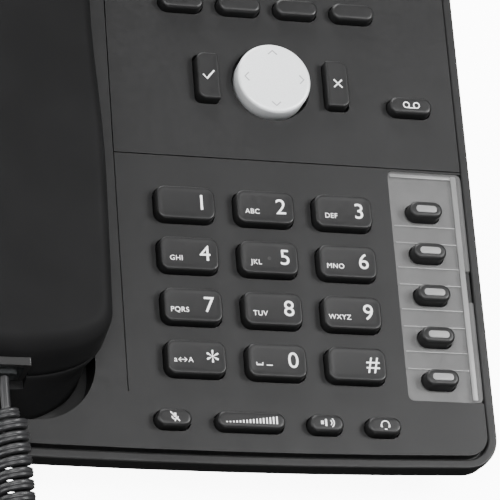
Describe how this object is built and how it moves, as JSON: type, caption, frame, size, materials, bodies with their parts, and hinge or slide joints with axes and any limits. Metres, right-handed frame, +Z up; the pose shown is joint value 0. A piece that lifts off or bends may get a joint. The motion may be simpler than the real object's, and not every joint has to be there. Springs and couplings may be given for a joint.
{
  "type": "desk ip phone",
  "caption": "Corded desk telephone with a sloping keypad face, display, silver navigation pad, line keys with label strip, cradled handset on a curly cord and fold-out rear stand.",
  "frame": {"origin": "middle of the footprint on the desk, measured without the handset cord", "axes": "+Z up, +Y from the front edge to the raised back, +X to the right of someone using the phone"},
  "size_m": [0.1861, 0.261, 0.1159],
  "materials": {
    "housing_black": "fine textured satin",
    "fascia_black": "fine textured satin",
    "key_black": "satin",
    "pad_silver": "satin silver paint",
    "label_clear": "smoky clear",
    "paper_grey": "matte",
    "lens_clear": "clear",
    "lcd_grey": "satin",
    "light_red": "translucent",
    "board_green": "solder mask",
    "mat_grey": "silicone",
    "foot_rubber": "matte",
    "screw_steel": "zinc",
    "jack_plastic": "gloss",
    "plug_clear": "clear moulding",
    "cord_black": "satin",
    "capsule_metal": "satin",
    "speaker_black": "satin"
  },
  "bodies": {
    "root": {"upper_housing": "housing_black", "lower_housing": "housing_black", "rim_frame": "housing_black", "display_fascia": "fascia_black", "display_lens": "lens_clear", "lcd_module": "lcd_grey", "message_light": "light_red", "main_board": "board_green", "key_mat": "mat_grey", "label_strip": "paper_grey", "loudspeaker": "speaker_black", "rubber_feet": "foot_rubber", "housing_screws": "screw_steel", "network_jacks": "jack_plastic", "cord_jacks": "jack_plastic", "power_inlet": "jack_plastic", "cord_lead_top": "cord_black", "cord_coil": "cord_black", "cord_lead_base": "cord_black", "base_plug": "plug_clear"},
    "handset": {"handset_outer_shell": "housing_black", "handset_inner_shell": "housing_black", "receiver_capsule": "capsule_metal", "transmitter_capsule": "capsule_metal", "handset_socket": "jack_plastic", "handset_plug": "plug_clear"},
    "hook_switch": {"hook_switch": "key_black"},
    "foot_stand": {"foot_stand": "housing_black", "stand_feet": "foot_rubber"},
    "label_cover": {"label_cover": "label_clear"},
    "nav_rocker": {"nav_rocker": "key_black"},
    "nav_cap": {"nav_cap": "pad_silver"},
    "volume_rocker": {"volume_rocker": "key_black"},
    "key_1": {"key_1": "key_black"},
    "key_2": {"key_2": "key_black"},
    "key_3": {"key_3": "key_black"},
    "key_4": {"key_4": "key_black"},
    "key_5": {"key_5": "key_black"},
    "key_6": {"key_6": "key_black"},
    "key_7": {"key_7": "key_black"},
    "key_8": {"key_8": "key_black"},
    "key_9": {"key_9": "key_black"},
    "key_star": {"key_star": "key_black"},
    "key_0": {"key_0": "key_black"},
    "key_hash": {"key_hash": "key_black"},
    "soft_key_1": {"soft_key_1": "key_black"},
    "soft_key_2": {"soft_key_2": "key_black"},
    "soft_key_3": {"soft_key_3": "key_black"},
    "soft_key_4": {"soft_key_4": "key_black"},
    "ok_key": {"ok_key": "key_black"},
    "cancel_key": {"cancel_key": "key_black"},
    "voicemail_key": {"voicemail_key": "key_black"},
    "line_key_1": {"line_key_1": "key_black"},
    "line_key_2": {"line_key_2": "key_black"},
    "line_key_3": {"line_key_3": "key_black"},
    "line_key_4": {"line_key_4": "key_black"},
    "line_key_5": {"line_key_5": "key_black"},
    "mute_key": {"mute_key": "key_black"},
    "speaker_key": {"speaker_key": "key_black"},
    "headset_key": {"headset_key": "key_black"}
  },
  "joints": [
    {"name": "key_1_press", "type": "slide", "parent": "root", "child": "key_1", "axis": [0, 0.4695, -0.8829], "range_m": [0, 0.001], "stiffness_N_per_m": 500, "springref_m": -0.0008},
    {"name": "key_2_press", "type": "slide", "parent": "root", "child": "key_2", "axis": [0, 0.4695, -0.8829], "range_m": [0, 0.001], "stiffness_N_per_m": 500, "springref_m": -0.0008},
    {"name": "key_3_press", "type": "slide", "parent": "root", "child": "key_3", "axis": [0, 0.4695, -0.8829], "range_m": [0, 0.001], "stiffness_N_per_m": 500, "springref_m": -0.0008},
    {"name": "key_4_press", "type": "slide", "parent": "root", "child": "key_4", "axis": [0, 0.4695, -0.8829], "range_m": [0, 0.001], "stiffness_N_per_m": 500, "springref_m": -0.0008},
    {"name": "key_5_press", "type": "slide", "parent": "root", "child": "key_5", "axis": [0, 0.4695, -0.8829], "range_m": [0, 0.001], "stiffness_N_per_m": 500, "springref_m": -0.0008},
    {"name": "key_6_press", "type": "slide", "parent": "root", "child": "key_6", "axis": [0, 0.4695, -0.8829], "range_m": [0, 0.001], "stiffness_N_per_m": 500, "springref_m": -0.0008},
    {"name": "key_7_press", "type": "slide", "parent": "root", "child": "key_7", "axis": [0, 0.4695, -0.8829], "range_m": [0, 0.001], "stiffness_N_per_m": 500, "springref_m": -0.0008},
    {"name": "key_8_press", "type": "slide", "parent": "root", "child": "key_8", "axis": [0, 0.4695, -0.8829], "range_m": [0, 0.001], "stiffness_N_per_m": 500, "springref_m": -0.0008},
    {"name": "key_9_press", "type": "slide", "parent": "root", "child": "key_9", "axis": [0, 0.4695, -0.8829], "range_m": [0, 0.001], "stiffness_N_per_m": 500, "springref_m": -0.0008},
    {"name": "key_star_press", "type": "slide", "parent": "root", "child": "key_star", "axis": [0, 0.4695, -0.8829], "range_m": [0, 0.001], "stiffness_N_per_m": 500, "springref_m": -0.0008},
    {"name": "key_0_press", "type": "slide", "parent": "root", "child": "key_0", "axis": [0, 0.4695, -0.8829], "range_m": [0, 0.001], "stiffness_N_per_m": 500, "springref_m": -0.0008},
    {"name": "key_hash_press", "type": "slide", "parent": "root", "child": "key_hash", "axis": [0, 0.4695, -0.8829], "range_m": [0, 0.001], "stiffness_N_per_m": 500, "springref_m": -0.0008},
    {"name": "soft_key_1_press", "type": "slide", "parent": "root", "child": "soft_key_1", "axis": [0, 0.4695, -0.8829], "range_m": [0, 0.001], "stiffness_N_per_m": 500, "springref_m": -0.0008},
    {"name": "soft_key_2_press", "type": "slide", "parent": "root", "child": "soft_key_2", "axis": [0, 0.4695, -0.8829], "range_m": [0, 0.001], "stiffness_N_per_m": 500, "springref_m": -0.0008},
    {"name": "soft_key_3_press", "type": "slide", "parent": "root", "child": "soft_key_3", "axis": [0, 0.4695, -0.8829], "range_m": [0, 0.001], "stiffness_N_per_m": 500, "springref_m": -0.0008},
    {"name": "soft_key_4_press", "type": "slide", "parent": "root", "child": "soft_key_4", "axis": [0, 0.4695, -0.8829], "range_m": [0, 0.001], "stiffness_N_per_m": 500, "springref_m": -0.0008},
    {"name": "ok_key_press", "type": "slide", "parent": "root", "child": "ok_key", "axis": [0, 0.4695, -0.8829], "range_m": [0, 0.001], "stiffness_N_per_m": 500, "springref_m": -0.0008},
    {"name": "cancel_key_press", "type": "slide", "parent": "root", "child": "cancel_key", "axis": [0, 0.4695, -0.8829], "range_m": [0, 0.001], "stiffness_N_per_m": 500, "springref_m": -0.0008},
    {"name": "voicemail_key_press", "type": "slide", "parent": "root", "child": "voicemail_key", "axis": [0, 0.4695, -0.8829], "range_m": [0, 0.001], "stiffness_N_per_m": 500, "springref_m": -0.0008},
    {"name": "line_key_1_press", "type": "slide", "parent": "root", "child": "line_key_1", "axis": [0, 0.4695, -0.8829], "range_m": [0, 0.001], "stiffness_N_per_m": 500, "springref_m": -0.0008},
    {"name": "line_key_2_press", "type": "slide", "parent": "root", "child": "line_key_2", "axis": [0, 0.4695, -0.8829], "range_m": [0, 0.001], "stiffness_N_per_m": 500, "springref_m": -0.0008},
    {"name": "line_key_3_press", "type": "slide", "parent": "root", "child": "line_key_3", "axis": [0, 0.4695, -0.8829], "range_m": [0, 0.001], "stiffness_N_per_m": 500, "springref_m": -0.0008},
    {"name": "line_key_4_press", "type": "slide", "parent": "root", "child": "line_key_4", "axis": [0, 0.4695, -0.8829], "range_m": [0, 0.001], "stiffness_N_per_m": 500, "springref_m": -0.0008},
    {"name": "line_key_5_press", "type": "slide", "parent": "root", "child": "line_key_5", "axis": [0, 0.4695, -0.8829], "range_m": [0, 0.001], "stiffness_N_per_m": 500, "springref_m": -0.0008},
    {"name": "mute_key_press", "type": "slide", "parent": "root", "child": "mute_key", "axis": [0, 0.4695, -0.8829], "range_m": [0, 0.001], "stiffness_N_per_m": 500, "springref_m": -0.0008},
    {"name": "speaker_key_press", "type": "slide", "parent": "root", "child": "speaker_key", "axis": [0, 0.4695, -0.8829], "range_m": [0, 0.001], "stiffness_N_per_m": 500, "springref_m": -0.0008},
    {"name": "headset_key_press", "type": "slide", "parent": "root", "child": "headset_key", "axis": [0, 0.4695, -0.8829], "range_m": [0, 0.001], "stiffness_N_per_m": 500, "springref_m": -0.0008},
    {"name": "nav_tilt_up_down", "type": "hinge", "parent": "root", "child": "nav_rocker", "pos_m": [0.02679, -0.00632, 0.05545], "axis": [1, 0, 0], "range_deg": [-3.5, 3.5], "stiffness_Nm_per_rad": 0.15},
    {"name": "nav_tilt_left_right", "type": "hinge", "parent": "nav_rocker", "child": "nav_cap", "pos_m": [0.02679, -0.00632, 0.05545], "axis": [0, 0.8829, 0.4695], "range_deg": [-3.5, 3.5], "stiffness_Nm_per_rad": 0.15},
    {"name": "volume_tilt", "type": "hinge", "parent": "root", "child": "volume_rocker", "pos_m": [0.01509, -0.0829, 0.01587], "axis": [0, 0.8829, 0.4695], "range_deg": [-1.8, 1.8], "stiffness_Nm_per_rad": 0.1},
    {"name": "handset_lift", "type": "slide", "parent": "root", "child": "handset", "axis": [0, -0.4695, 0.8829], "range_m": [0, 0.06], "deforming": ["cord_lead_top", "cord_coil"]},
    {"name": "hook_switch_slide", "type": "slide", "parent": "root", "child": "hook_switch", "axis": [0, -0.4695, 0.8829], "range_m": [0, 0.0035]},
    {"name": "foot_stand_fold", "type": "hinge", "parent": "root", "child": "foot_stand", "pos_m": [0, 0.05304, 0.05372], "axis": [-1, 0, 0], "range_deg": [0, 74]},
    {"name": "label_cover_lift", "type": "slide", "parent": "root", "child": "label_cover", "axis": [0, -0.4695, 0.8829], "range_m": [0, 0.015]}
  ],
  "couplings": [
    {"joint": "hook_switch_slide", "follows": "handset_lift", "ratio": 0.058}
  ]
}
